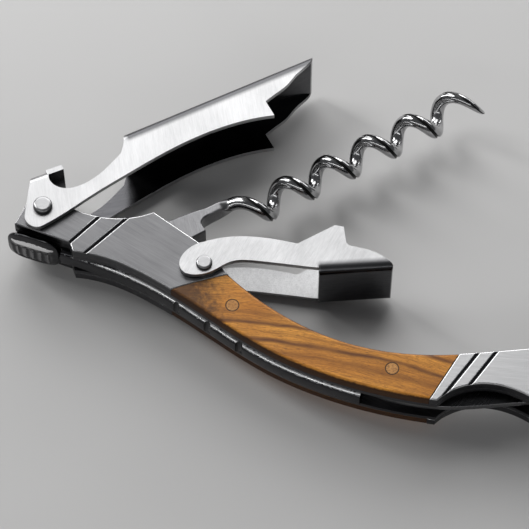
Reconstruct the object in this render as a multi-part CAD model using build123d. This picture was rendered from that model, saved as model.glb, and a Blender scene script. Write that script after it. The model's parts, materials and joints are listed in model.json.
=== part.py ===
from build123d import *
import os
from math import atan2, cos, degrees, pi, radians, sin

# Waiter's corkscrew with two levers, lying on its side and opened out.
# Millimetres. The hinge axes are vertical. While modelling, the long lever's rivet is at
# x = y = 0 and z = 0 is the middle of the handle's thickness; +X runs from head to tail and
# +Y towards the open side, where the levers and the worm are. At export everything is
# shifted so that the origin is the middle of the underside of the whole object's box.

# ---- driving dimensions -------------------------------------------------------------
GAP = 4.9                # free width between the liners
LINER = 1.2              # liner thickness
CHEEK = 2.4              # bolster and scale thickness
SHEET = 1.2              # sheet steel of both levers
WASHER = 0.25            # washers under the lever walls
SIDE_PLAY = 0.05         # play between washer and lever wall
BEND = 1.8               # outer radius of the folds in the levers
RUNNING = 0.05           # radial clearance of a pin in a moving part
SEAM_GAP = 0.04          # joint line between scale and bolster
RIM_BREAK = 0.2          # chamfer round the bolsters' outer rims

LONG_PIVOT = (0.0, 0.0)
SHORT_PIVOT = (37.8, -1.9)
WORM_PIVOT = (25.5, 3.0)
CUTTER_PIVOT = (117.0, -3.2)

WORM_ANGLE = 49.2        # direction of the worm's axis from +X, in degrees
WORM_POINT = (49.8, 27.0)    # a point on the worm's axis
WORM_PITCH = 10.65
WORM_OUTER = 8.06        # outside diameter of the worm
WIRE = 3.0               # wire diameter
WORM_START = -14.8       # along the axis from WORM_POINT
WORM_COILS = 5           # full turns before the ground point
POINT_LENGTH = 7.25      # of the ground point, along the axis
POINT_REACH = 4.08       # of the point's end, from the axis
POINT_TURN = 185.0       # part of a turn that the ground point makes

LINER_Z = GAP / 2
CHEEK_Z = LINER_Z + LINER
FACE_Z = CHEEK_Z + CHEEK
WALL_Z = FACE_Z + WASHER + SIDE_PLAY
LEVER_Z = WALL_Z + SHEET

LONG_RIVET_R = 1.7
LONG_HEAD_R = 2.1
LONG_HEAD_H = 1.2
SHORT_RIVET_R = 1.25
SHORT_HEAD_R = 1.75
SHORT_HEAD_H = 0.8
HEAD_LIFT = 0.04         # gap between a lever wall and the rivet head above it
HEAD_ROUND = 0.6         # share of a rivet head's height that is rounded
WORM_PIN_R = 1.5
CUTTER_PIN_R = 1.25
HIDDEN_PIN_R = 1.0
SCALE_PIN_R = 1.5
PRESS = 0.02             # radial clearance where a pin is fast in its hole
LONG_WASHER_R = 3.4
SHORT_WASHER_R = 2.8
CUTTER_WASHER_R = 2.4

SCALE_ROUND = 0.7        # rounding along the scales' outer edges
SPRING_ROUND = 1.2       # crown of the spring's outer edge
NOTCH_R = 0.85           # cross notches in the spring's outer edge
TAB_SIZE = (11.8, 1.7, 9.8)
TAB_PLACE = (-0.1, -6.85)
TAB_ROUND = 2.0
TAB_EDGE = 0.8
TAB_RIBS = 5
TAB_RIB_STEP = 1.8
TAB_RIB_R = 0.75
TAB_RIB_DEPTH = 0.3      # of the grooves between the ribs
TANG_SIDE_PLAY = 0.12    # between the tang and each liner
CUTTER_HALF = 0.8        # half the foil cutter's thickness
CUTTER_PLAY = 0.05       # between the cutter and each washer
WORM_GROOVE_R = 0.4      # groove along the outside of the wire
WORM_GROOVE_OFFSET = 0.1
POINT_R = 0.12           # blunt end of the worm's point
POINT_STEPS = 12         # stations along the ground point's curve
POINT_SLIMNESS = 0.65    # below 1, the wire keeps its thickness for longer before it tapers
FAR = 30.0               # reach of cutting shapes beyond the handle
OVERRUN = 3.0            # how far a fold's cutter runs past the lever

SPRING_PINS = [(14.0, -5.2), (56.0, -14.6), (73.0, -16.0)]
TAIL_PINS = [(99.5, -4.6), (108.5, -1.6)]
SCALE_PINS = [(46.6, -8.8), (83.4, -12.1)]
SPRING_NOTCHES = [(34.3, -10.9), (42.2, -13.2), (50.3, -15.6)]

# Engraved lines on the bolsters, each from the spine edge to the belly edge.
HEAD_GROOVES = [((8.0, -6.3), (12.9, 4.1)), ((11.8, -8.1), (18.6, 5.4))]
TAIL_GROOVES = [((95.2, -15.8), (99.9, -1.3)), ((99.5, -12.0), (103.5, 0.3))]
GROOVE_WIDTH = 0.85
GROOVE_DEPTH = 0.35

# ---- outlines in the plane of motion ------------------------------------------------
HEAD_CORNER = (-4.7, -5.2)
STEP_TOP = (8.2, -5.7)
STEP_FOOT = (9.7, -7.6)
SPINE = [STEP_FOOT, (16.5, -6.8), (27.0, -8.1), (44.0, -12.9), (57.0, -16.5), (72.0, -18.1), (94.6, -16.1)]
SCALLOP = [SPINE[-1], (97.9, -11.9), (103.0, -9.1), (110.0, -8.5), (119.0, -11.4)]
TAIL_END = [SCALLOP[-1], (123.0, -10.0), (124.6, -3.0), (123.6, 4.6), (120.0, 6.3)]
BELLY = [TAIL_END[-1], (109.3, 1.9), (95.7, -4.1), (85.4, -7.5), (71.8, -9.2), (56.7, -7.1), (42.2, -1.4)]
BOLSTER_SHOULDER = (22.8, 7.4)
BELLY_CUT = [BELLY[-1], (38.8, 1.6), (35.0, 3.3)]
BELLY_HEAD = [BOLSTER_SHOULDER, (18.5, 4.4), (13.0, 2.6), (7.0, 2.4), (1.0, 3.1), (-3.2, 2.1), (-4.2, -0.8)]
HEAD_SEAM = [(32.4, -9.9), (37.6, -5.9), (43.9, -1.7)]
TAIL_SEAM = [(92.8, -16.9), (95.9, -3.4)]

LONG_LEVER_HEEL = [(-2.9, -3.4), (-1.8, -4.8), (0.0, -5.3), (1.6, -4.5)]
LONG_LEVER_LOWER = [
    LONG_LEVER_HEEL[-1], (4.6, -0.6), (8.4, 5.2), (14.5, 13.8), (22.1, 23.7), (30.3, 32.0), (39.9, 38.4)]
LONG_LEVER_NOTCH = (36.9, 41.2)
LONG_LEVER_TIP = (42.8, 56.3)
LONG_LEVER_CLAW = [
    LONG_LEVER_NOTCH, (38.4, 43.9), (40.0, 46.8), (41.0, 50.0), (42.2, 52.6), (43.0, 55.2), LONG_LEVER_TIP]
LONG_LEVER_WEB_START = (10.0, 23.3)
HOOK_ARC = [(-1.75, 7.95), (-0.9, 6.6), (2.0, 5.7), (5.0, 7.0), (9.3, 12.9), (11.3, 18.2)]
HOOK_STEP = (11.0, 20.6)
LIP_CORNER = (-5.3, 6.4)
LIP_END = (0.0, 11.1)
LIP_FOLD = 3.4           # the lip is folded to the walls this far along its edge

SHORT_LEVER_LOWER = [
    (34.6, -5.4), (37.2, -5.0), (39.6, -3.5), (43.0, 0.3), (48.9, 2.5), (55.7, 3.9), (61.4, 5.1)]
SHORT_LEVER_WEB_START = (61.8, 4.1)
SHORT_LEVER_WEB_END = (76.2, 10.18)
SHORT_LEVER_NOSE = [SHORT_LEVER_WEB_END, (76.3, 10.7), (74.7, 11.8), (72.7, 12.5), (69.6, 12.75), (65.9, 12.4)]
SHORT_LEVER_TOOTH = [(65.0, 12.9), (63.3, 16.4), (61.4, 16.2), (56.2, 10.4)]
SHORT_LEVER_UPPER = [(55.2, 9.2), (48.7, 8.4), (42.1, 6.6), (36.0, 3.1)]
SHORT_LEVER_HEAD = [SHORT_LEVER_UPPER[-1], (33.3, 0.2), (32.7, -3.4), (34.6, -5.4)]

SPRING_OUTER = [
    (6.4, -7.3), (16.5, -7.5), (27.0, -8.8), (44.0, -13.7), (57.0, -17.3), (70.0, -18.8), (78.5, -18.8)]
SPRING_INNER = [(78.5, -14.9), (70.0, -14.6), (57.0, -13.0), (44.0, -9.6), (33.0, -5.0), (25.5, -0.8)]
SPRING_NOSE = [SPRING_INNER[-1], (18.0, -2.2), (10.0, -2.4), (-4.4, -1.6)]
SPRING_NECK = (-4.4, -5.9)   # the thumb tab's foot stands on the spring from here on

HEAD_SPACER_LOW = -1.4
HEAD_SPACER_END = 17.4
TAIL_SPACER_LOW = [(97.2, -7.0), (104.0, -5.2), (109.4, -3.2)]
TAIL_SPACER_HIGH = [(111.4, 2.6), (103.5, -0.8), (96.4, -4.0)]

# The tang's outline as (distance along the worm's direction, distance to its left) from its pin.
TANG_EYE = 3.1
TANG_STEP = 10.1
TANG_NOTCH = [(10.0, -2.1), (10.2, -1.0), (11.7, 0.1)]
TANG_TOP = [(16.1, 1.55), (10.8, 2.5), (4.2, 3.15)]
NECK_OVERLAP = 1.0           # length of wire let into the neck

CUTTER_BACK = [(117.4, -5.9), (108.0, -9.6), (97.0, -14.2), (88.0, -16.2), (80.6, -16.4)]
CUTTER_EDGE = [CUTTER_BACK[-1], (84.0, -13.6), (92.0, -10.4), (101.0, -8.3), (108.0, -5.6)]
CUTTER_HEEL = [CUTTER_EDGE[-1], (112.0, -1.9), (116.4, -0.5)]
CUTTER_END = [(119.4, -1.9), (119.2, -5.0)]


def outline(*runs):
    """Closed face from runs of points: two points make a line, more make a smooth curve."""
    with BuildSketch() as face:
        with BuildLine():
            for points in runs:
                if len(points) == 2:
                    Line(*points)
                else:
                    Spline(*points)
        make_face()
    return face.sketch


def sides(corners):
    """Runs of an outline that join neighbouring corners with straight lines."""
    return [list(pair) for pair in zip(corners, corners[1:])]


def slab(face, low, high):
    """Solid of the face's outline from z = low to z = high."""
    return extrude(Pos(0, 0, low) * face, high - low)


def both_sides(solid):
    """The solid and its mirror image below the middle plane."""
    return [solid, mirror(solid, about=Plane.XY)]


def pin(place, radius, low, high):
    """Vertical cylinder."""
    return Pos(place[0], place[1], (low + high) / 2) * Cylinder(radius, high - low)


def along(start, angle, distance, side=0.0):
    """Point at a distance along a direction, and a distance to its left."""
    turn = radians(angle)
    return (start[0] + distance * cos(turn) - side * sin(turn),
            start[1] + distance * sin(turn) + side * cos(turn))


def drill(solid, places, radius):
    """Vertical holes right through."""
    for place in places:
        solid -= pin(place, radius, -FAR, FAR)
    return solid


# ---- handle -------------------------------------------------------------------------
def handle_face():
    return outline(
        [HEAD_CORNER, STEP_TOP],
        [STEP_TOP, STEP_FOOT],
        SPINE,
        SCALLOP,
        TAIL_END,
        BELLY,
        BELLY_CUT,
        [BELLY_CUT[-1], BOLSTER_SHOULDER],
        BELLY_HEAD,
        [BELLY_HEAD[-1], HEAD_CORNER],
    )


def head_side(shift):
    """Everything on the head's side of the head seam, moved by shift along X."""
    seam = [(x + shift, y) for x, y in HEAD_SEAM]
    corners = [seam[-1], (seam[-1][0], FAR), (-FAR, FAR), (-FAR, -FAR), (seam[0][0], -FAR), seam[0]]
    return outline(seam, *sides(corners))


def tail_side(shift):
    """Everything on the tail's side of the tail seam, moved by shift along X."""
    low, high = [(x + shift, y) for x, y in TAIL_SEAM]
    end = TAIL_END[0][0] + FAR
    return outline(*sides([low, high, (high[0], FAR), (end, FAR), (end, -FAR), (low[0], -FAR), low]))


def engrave(solid, lines):
    """V-shaped lines cut into the outer face of a bolster."""
    for start, end in lines:
        heading = Vector(end[0] - start[0], end[1] - start[1], 0)
        middle = ((start[0] + end[0]) / 2, (start[1] + end[1]) / 2, FACE_Z)
        across = Plane(origin=middle, x_dir=(-heading.Y, heading.X, 0), z_dir=heading)
        half, rise = GROOVE_WIDTH / 2, GROOVE_DEPTH
        with BuildSketch(across) as section:
            Polygon((-half, 0), (-half, rise), (half, rise), (half, 0), (0, -rise), align=None)
        solid -= extrude(section.sketch, heading.length / 2, both=True)
    return solid


def soften_rim(solid, size):
    """Break the rim of a cheek's outer face."""
    rim = solid.faces().sort_by(Axis.Z)[-1].outer_wire().edges()
    return chamfer(rim, size)


def bolster(region, lines, holes):
    cheek = slab(handle_face() & region, CHEEK_Z, FACE_Z)
    cheek = soften_rim(cheek, RIM_BREAK)
    for place, radius in holes:
        cheek = drill(cheek, [place], radius)
    return engrave(cheek, lines)


def scale():
    wood = slab(handle_face() - head_side(SEAM_GAP) - tail_side(-SEAM_GAP), CHEEK_Z, FACE_Z)
    rim = wood.faces().sort_by(Axis.Z)[-1].outer_wire().edges()
    long_edges = rim.sort_by(SortBy.LENGTH)[-2:]
    wood = fillet(long_edges, SCALE_ROUND)
    return drill(wood, SCALE_PINS, SCALE_PIN_R + PRESS)


def liner():
    plate = slab(handle_face(), LINER_Z, CHEEK_Z)
    plate = drill(plate, [LONG_PIVOT], LONG_RIVET_R + PRESS)
    plate = drill(plate, [SHORT_PIVOT], SHORT_RIVET_R + PRESS)
    plate = drill(plate, [WORM_PIVOT], WORM_PIN_R + PRESS)
    plate = drill(plate, [CUTTER_PIVOT], CUTTER_PIN_R + PRESS)
    plate = drill(plate, SPRING_PINS + TAIL_PINS, HIDDEN_PIN_R + PRESS)
    return drill(plate, SCALE_PINS, SCALE_PIN_R + PRESS)


def backspring():
    """Leaf spring between the liners, crowned and notched along the back of the handle."""
    foot = (SPRING_OUTER[0][0], SPRING_NECK[1])
    face = outline(
        SPRING_OUTER,
        [SPRING_OUTER[-1], SPRING_INNER[0]],
        SPRING_INNER,
        SPRING_NOSE,
        *sides([SPRING_NOSE[-1], SPRING_NECK, foot, SPRING_OUTER[0]]),
    )
    bar = slab(face, -LINER_Z, LINER_Z)
    long_edges = bar.edges().filter_by(GeomType.BSPLINE).sort_by(SortBy.LENGTH)[-2:]
    crown = [edge for edge in long_edges if edge.center().Y < SPRING_OUTER[1][1]]
    bar = fillet(crown, SPRING_ROUND)
    for notch in SPRING_NOTCHES:
        bar -= pin(notch, NOTCH_R, -FAR, FAR)
    return drill(bar, SPRING_PINS, HIDDEN_PIN_R + PRESS)


def thumb_tab():
    """Ribbed thumb pad on the head end of the spring."""
    x, y = TAB_PLACE
    length, thick, width = TAB_SIZE
    block = Pos(x, y, 0) * Box(length, thick, width)
    block = fillet(block.edges().filter_by(Axis.Y), TAB_ROUND)
    face = block.faces().sort_by(Axis.Y)[0]
    block = fillet(face.outer_wire().edges(), TAB_EDGE)
    for step in range(TAB_RIBS):
        rib_gap = x + TAB_RIB_STEP * (step - (TAB_RIBS - 1) / 2)
        block -= pin((rib_gap, y - thick / 2 - TAB_RIB_R + TAB_RIB_DEPTH), TAB_RIB_R, -FAR, FAR)
    return block


def head_spacer():
    """Block between the liners round the long lever's rivet."""
    left, right = HEAD_CORNER[0] - 1, HEAD_SPACER_END
    region = outline(*sides([(left, HEAD_SPACER_LOW), (right, HEAD_SPACER_LOW), (right, FAR), (left, FAR),
                             (left, HEAD_SPACER_LOW)]))
    block = slab(handle_face() & region, -LINER_Z, LINER_Z)
    return drill(block, [LONG_PIVOT], LONG_RIVET_R + PRESS)


def tail_spacer():
    """Block between the liners at the tail."""
    face = outline(
        [TAIL_SPACER_HIGH[-1], TAIL_SPACER_LOW[0]],
        TAIL_SPACER_LOW,
        [TAIL_SPACER_LOW[-1], TAIL_SPACER_HIGH[0]],
        TAIL_SPACER_HIGH,
    )
    block = slab(face, -LINER_Z, LINER_Z)
    return drill(block, TAIL_PINS, HIDDEN_PIN_R + PRESS)


def domed_rivet(place, radius, head_radius, head_height, foot):
    """Through rivet with a flat-topped domed head at each end."""
    shaft = pin(place, radius, -foot, foot)
    head = pin(place, head_radius, foot, foot + head_height)
    head = fillet(head.faces().sort_by(Axis.Z)[-1].edges(), head_height * HEAD_ROUND)
    return shaft + head + mirror(head, about=Plane.XY)


# ---- levers -------------------------------------------------------------------------
def round_fold(solid, start, end, inward):
    """Round both outer corners of a folded edge that runs from start to end.

    inward is +1 where the lever's inside is to the left of that direction, -1 to the right.
    """
    heading = Vector(end[0] - start[0], end[1] - start[1], 0)
    inside = Vector(-heading.Y * inward, heading.X * inward, 0)
    for side in (-1, 1):
        corner = Plane(origin=(start[0], start[1], side * LEVER_Z), x_dir=inside, z_dir=heading)
        down = -side if corner.y_dir.Z > 0 else side
        with BuildSketch(corner) as section:
            with Locations(((BEND - 1) / 2, down * (BEND - 1) / 2)):
                Rectangle(BEND + 1, BEND + 1)
            with Locations((BEND, down * BEND)):
                Circle(BEND, mode=Mode.SUBTRACT)
        solid -= extrude(section.sketch, heading.length)
    return solid


def heading_of(start, end):
    return degrees(atan2(end[1] - start[1], end[0] - start[0]))


def long_lever():
    """Folded channel: two walls, a web along the outer edge, and the cap lifter's lip."""
    web_angle = heading_of(LONG_LEVER_WEB_START, LONG_LEVER_TIP)
    lip_angle = heading_of(LIP_CORNER, LIP_END)
    lip_inner = along(LIP_END, lip_angle, 0.1, -SHEET)
    side = outline(
        [LIP_CORNER, LONG_LEVER_HEEL[0]],
        LONG_LEVER_HEEL,
        LONG_LEVER_LOWER,
        [LONG_LEVER_LOWER[-1], LONG_LEVER_NOTCH],
        LONG_LEVER_CLAW,
        [LONG_LEVER_TIP, LONG_LEVER_WEB_START],
        [LONG_LEVER_WEB_START, HOOK_STEP],
        [HOOK_STEP, HOOK_ARC[-1]],
        HOOK_ARC,
        [HOOK_ARC[0], lip_inner],
        [lip_inner, LIP_END],
        [LIP_END, LIP_CORNER],
    )
    block = slab(side, -LEVER_Z, LEVER_Z)
    web_from = along(LONG_LEVER_WEB_START, web_angle, -OVERRUN)
    web_to = along(LONG_LEVER_TIP, web_angle, OVERRUN)
    inner_web = [along(web_from, web_angle, 0, -SHEET), along(web_to, web_angle, OVERRUN, -SHEET)]
    lip_from = along(LIP_CORNER, lip_angle, -OVERRUN)
    inner_lip = [along(lip_from, lip_angle, -OVERRUN, -SHEET), along(LIP_END, lip_angle, 2 * OVERRUN, -SHEET)]
    hollow = outline(
        inner_lip,
        [inner_lip[1], inner_web[0]],
        inner_web,
        *sides([inner_web[1], (2 * FAR, FAR / 2), (0.0, -FAR), (-FAR, -FAR), inner_lip[0]]),
    )
    block -= slab(hollow, -WALL_Z, WALL_Z)
    block = round_fold(block, web_from, web_to, -1)
    block = round_fold(block, lip_from, along(LIP_CORNER, lip_angle, LIP_FOLD), -1)
    return drill(block, [LONG_PIVOT], LONG_RIVET_R + RUNNING)


def short_lever():
    """Two legs joined by a web at the far end, on the handle's side."""
    side = outline(
        SHORT_LEVER_LOWER,
        [SHORT_LEVER_LOWER[-1], SHORT_LEVER_WEB_START],
        [SHORT_LEVER_WEB_START, SHORT_LEVER_WEB_END],
        SHORT_LEVER_NOSE,
        [SHORT_LEVER_NOSE[-1], SHORT_LEVER_TOOTH[0]],
        SHORT_LEVER_TOOTH[:2],
        SHORT_LEVER_TOOTH[1:3],
        SHORT_LEVER_TOOTH[2:],
        [SHORT_LEVER_TOOTH[-1], SHORT_LEVER_UPPER[0]],
        SHORT_LEVER_UPPER,
        SHORT_LEVER_HEAD,
    )
    block = slab(side, -LEVER_Z, LEVER_Z)
    web_start = SHORT_LEVER_WEB_START
    web_angle = heading_of(web_start, SHORT_LEVER_WEB_END)
    inner_start = along(web_start, web_angle, 0, SHEET)
    inner_end = along(SHORT_LEVER_WEB_END, web_angle, 2 * OVERRUN, SHEET)
    left, right = FAR / 2, 3 * FAR
    hollow = outline(*sides([inner_start, inner_end, (right, FAR), (left, FAR), (left, -FAR),
                             along(web_start, web_angle, 0, -FAR), inner_start]))
    block -= slab(hollow, -WALL_Z, WALL_Z)
    block = round_fold(block, web_start, along(SHORT_LEVER_WEB_END, web_angle, OVERRUN), 1)
    return drill(block, [SHORT_PIVOT], SHORT_RIVET_R + RUNNING)


# ---- worm ---------------------------------------------------------------------------
def worm_plane(distance):
    """Plane square to the worm's axis; its local X points to the left of the axis, in plan."""
    x, y = along(WORM_POINT, WORM_ANGLE, distance)
    ahead = (cos(radians(WORM_ANGLE)), sin(radians(WORM_ANGLE)), 0)
    left = (-sin(radians(WORM_ANGLE)), cos(radians(WORM_ANGLE)), 0)
    return Plane(origin=(x, y, 0), x_dir=left, z_dir=ahead)


def point_path(radius, rise):
    """Curve of the ground point: it leaves the helix smoothly, slows its turn and opens outwards."""
    rate = 2 * pi / WORM_PITCH
    slowing = 1 - radians(POINT_TURN) / (rate * POINT_LENGTH)
    centres = []
    for step in range(POINT_STEPS + 1):
        share = step / POINT_STEPS
        turn = rate * POINT_LENGTH * share * (1 - slowing * share)
        reach = radius + (POINT_REACH - radius) * share ** 2 * (3 - 2 * share)
        centres.append((reach * cos(turn), reach * sin(turn), rise + POINT_LENGTH * share))
    leaving = Vector(0, radius * rate, 1).normalized()
    ending = (Vector(*centres[-1]) - Vector(*centres[-2])).normalized()
    return Spline(*centres, tangents=[leaving, ending])


def worm_helix():
    """Right-handed wire with a shallow groove along its outside and a ground point."""
    radius = (WORM_OUTER - WIRE) / 2
    rise = WORM_COILS * WORM_PITCH
    full = Helix(pitch=WORM_PITCH, height=rise, radius=radius)
    with BuildSketch(Plane(origin=full @ 0, x_dir=(1, 0, 0), z_dir=full % 0)) as section:
        Circle(WIRE / 2)
        with Locations((WIRE / 2 + WORM_GROOVE_OFFSET, 0)):
            Circle(WORM_GROOVE_R, mode=Mode.SUBTRACT)
    wire = sweep(section.sketch, path=full, is_frenet=True)
    point = point_path(radius, rise)
    tapering = []
    for share in (0, 0.25, 0.5, 0.75, 1):
        ring = Plane(origin=point @ share, z_dir=point % share)
        tapering.append(ring * Circle(WIRE / 2 * (1 - share) ** POINT_SLIMNESS + POINT_R * share))
    end = sweep(Sketch() + tapering, path=point, multisection=True)
    return worm_plane(WORM_START).location * (wire + end)


def worm_tang():
    """Flat forged tang: eye on the pin, a hooked step, and a neck that meets the wire."""
    neck = along(WORM_POINT, WORM_ANGLE, WORM_START + NECK_OVERLAP)
    radius = (WORM_OUTER - WIRE) / 2
    neck_low = along(neck, WORM_ANGLE, 0, radius - WIRE / 2)
    neck_high = along(neck, WORM_ANGLE, 0, radius + WIRE / 2)
    notch = [along(WORM_PIVOT, WORM_ANGLE, *point) for point in TANG_NOTCH]
    top = [neck_high] + [along(WORM_PIVOT, WORM_ANGLE, *point) for point in TANG_TOP]
    heel = along(WORM_PIVOT, WORM_ANGLE, 0, -TANG_EYE)
    crown = along(WORM_PIVOT, WORM_ANGLE, 0, TANG_EYE)
    tip = along(WORM_PIVOT, WORM_ANGLE, TANG_STEP, -TANG_EYE)
    face = outline(*sides([heel, tip, notch[0]]), notch, *sides([notch[-1], neck_low, neck_high]), top,
                   *sides([top[-1], crown, heel]))
    half = LINER_Z - TANG_SIDE_PLAY
    plate = slab(face, -half, half) + pin(WORM_PIVOT, TANG_EYE, -half, half)
    return drill(plate, [WORM_PIVOT], WORM_PIN_R + RUNNING)


# ---- foil cutter --------------------------------------------------------------------
def foil_cutter():
    """Small hooked blade folded into the spine slot; its back shows in the scallop."""
    face = outline(CUTTER_BACK, CUTTER_EDGE, CUTTER_HEEL,
                   *sides([CUTTER_HEEL[-1], *CUTTER_END, CUTTER_BACK[0]]))
    blade = slab(face, -CUTTER_HALF, CUTTER_HALF)
    return drill(blade, [CUTTER_PIVOT], CUTTER_PIN_R + RUNNING)


def rings(place, hole, outer, low, high):
    ring = pin(place, outer, low, high) - pin(place, hole, low - 1, high + 1)
    return both_sides(ring)


def build_nodes():
    bolster_holes = [(LONG_PIVOT, LONG_RIVET_R + PRESS), (SHORT_PIVOT, SHORT_RIVET_R + PRESS)]
    tail_holes = [(CUTTER_PIVOT, CUTTER_PIN_R + PRESS)]
    top_bolster = bolster(head_side(-SEAM_GAP), HEAD_GROOVES, bolster_holes)
    tail_bolster = bolster(tail_side(SEAM_GAP), TAIL_GROOVES, tail_holes)
    top_scale = scale()
    top_liner = liner()
    hidden = [pin(place, HIDDEN_PIN_R, -CHEEK_Z, CHEEK_Z) for place in SPRING_PINS]
    tail_hidden = [pin(place, HIDDEN_PIN_R, -CHEEK_Z, CHEEK_Z) for place in TAIL_PINS]
    wood_pins = []
    for place in SCALE_PINS:
        wood_pins += both_sides(pin(place, SCALE_PIN_R, LINER_Z, FACE_Z))
    long_foot = LEVER_Z + HEAD_LIFT
    washers = rings(LONG_PIVOT, LONG_RIVET_R + PRESS, LONG_WASHER_R, FACE_Z, FACE_Z + WASHER)
    washers += rings(SHORT_PIVOT, SHORT_RIVET_R + PRESS, SHORT_WASHER_R, FACE_Z, FACE_Z + WASHER)
    cutter_low = CUTTER_HALF + CUTTER_PLAY
    cutter_washers = rings(CUTTER_PIVOT, CUTTER_PIN_R + PRESS, CUTTER_WASHER_R, cutter_low, LINER_Z)
    return {
        "top_liner": [top_liner],
        "bottom_liner": [mirror(top_liner, about=Plane.XY)],
        "top_head_bolster": [top_bolster],
        "bottom_head_bolster": [mirror(top_bolster, about=Plane.XY)],
        "top_scale": [top_scale],
        "bottom_scale": [mirror(top_scale, about=Plane.XY)],
        "top_tail_bolster": [tail_bolster],
        "bottom_tail_bolster": [mirror(tail_bolster, about=Plane.XY)],
        "backspring": [backspring()],
        "thumb_tab": [thumb_tab()],
        "head_spacer": [head_spacer()],
        "tail_spacer": [tail_spacer()],
        "scale_pins": wood_pins,
        "spring_pins": hidden,
        "tail_pins": tail_hidden,
        "long_lever_rivet": [domed_rivet(LONG_PIVOT, LONG_RIVET_R, LONG_HEAD_R, LONG_HEAD_H, long_foot)],
        "short_lever_rivet": [domed_rivet(SHORT_PIVOT, SHORT_RIVET_R, SHORT_HEAD_R, SHORT_HEAD_H, long_foot)],
        "lever_washers": washers,
        "worm_pin": [pin(WORM_PIVOT, WORM_PIN_R, -CHEEK_Z, CHEEK_Z)],
        "cutter_pin": [pin(CUTTER_PIVOT, CUTTER_PIN_R, -FACE_Z, FACE_Z)],
        "cutter_washers": cutter_washers,
        "long_lever": [long_lever()],
        "short_lever": [short_lever()],
        "worm_tang": [worm_tang()],
        "worm_helix": [worm_helix()],
        "foil_cutter": [foil_cutter()],
    }


nodes = {
    name: [solid for piece in pieces for solid in piece.solids()]
    for name, pieces in build_nodes().items()
}
box = Compound([solid for solids in nodes.values() for solid in solids]).bounding_box()
ORIGIN = ((box.min.X + box.max.X) / 2, (box.min.Y + box.max.Y) / 2, box.min.Z)

os.makedirs("parts", exist_ok=True)
for name, solids in nodes.items():
    moved = [Pos(-ORIGIN[0], -ORIGIN[1], -ORIGIN[2]) * solid for solid in solids]
    shape = moved[0] if len(moved) == 1 else Compound(moved)
    export_step(shape, "parts/" + name + ".step")
print("origin shift", ORIGIN)
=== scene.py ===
import json
from math import cos, exp, pi, radians, sin

import bmesh
import bpy
import numpy as np
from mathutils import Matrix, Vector

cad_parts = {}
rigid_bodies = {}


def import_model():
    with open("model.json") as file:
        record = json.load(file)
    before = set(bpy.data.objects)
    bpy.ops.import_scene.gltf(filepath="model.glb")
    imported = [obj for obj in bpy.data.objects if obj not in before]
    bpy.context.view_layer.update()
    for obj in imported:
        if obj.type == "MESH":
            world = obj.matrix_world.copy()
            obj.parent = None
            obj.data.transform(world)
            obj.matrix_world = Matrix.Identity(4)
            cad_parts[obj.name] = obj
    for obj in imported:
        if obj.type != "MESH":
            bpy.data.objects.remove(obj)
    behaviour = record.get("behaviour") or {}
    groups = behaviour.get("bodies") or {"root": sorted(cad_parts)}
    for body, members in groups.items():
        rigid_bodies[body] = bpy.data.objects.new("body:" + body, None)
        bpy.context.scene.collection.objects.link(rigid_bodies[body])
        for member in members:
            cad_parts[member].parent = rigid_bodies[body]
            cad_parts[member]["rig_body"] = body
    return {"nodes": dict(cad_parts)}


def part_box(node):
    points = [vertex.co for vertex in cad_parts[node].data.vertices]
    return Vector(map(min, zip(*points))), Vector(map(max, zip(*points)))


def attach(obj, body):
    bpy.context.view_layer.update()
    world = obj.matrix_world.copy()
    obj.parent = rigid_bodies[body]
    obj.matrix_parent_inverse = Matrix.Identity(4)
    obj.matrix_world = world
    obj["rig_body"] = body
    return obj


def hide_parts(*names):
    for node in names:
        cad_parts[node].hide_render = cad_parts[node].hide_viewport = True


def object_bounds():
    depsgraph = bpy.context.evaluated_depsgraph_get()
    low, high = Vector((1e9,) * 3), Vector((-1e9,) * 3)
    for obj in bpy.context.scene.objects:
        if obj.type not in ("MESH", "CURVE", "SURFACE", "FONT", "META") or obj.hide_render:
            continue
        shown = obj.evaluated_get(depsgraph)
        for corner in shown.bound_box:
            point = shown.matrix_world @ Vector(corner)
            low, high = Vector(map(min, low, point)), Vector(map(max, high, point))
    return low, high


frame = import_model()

# Looks of a waiter's corkscrew: fine meshes with rounded edges and procedural materials, built round the
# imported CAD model. Plan sizes are in millimetres from the long lever's rivet, as in the CAD source, and
# heights from the handle's middle plane. Directions in plan are in degrees from +X. Colours are linear RGB.

MM = 0.001
CAD_LOW, CAD_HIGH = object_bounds()


def middle(node):
    """Centre of a CAD node's box, in the row frame."""
    low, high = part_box(node)
    return (low + high) / 2


RIVET = middle("long_lever_rivet")


def place(x, y, z=0.0):
    """Point given in millimetres from the long lever's rivet, in the row frame."""
    return RIVET + Vector((x, y, z)) * MM


# ---- node helpers -------------------------------------------------------------------
NOISE_RANGE = (0.3, 0.7)     # most of a noise's values lie between these


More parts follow.
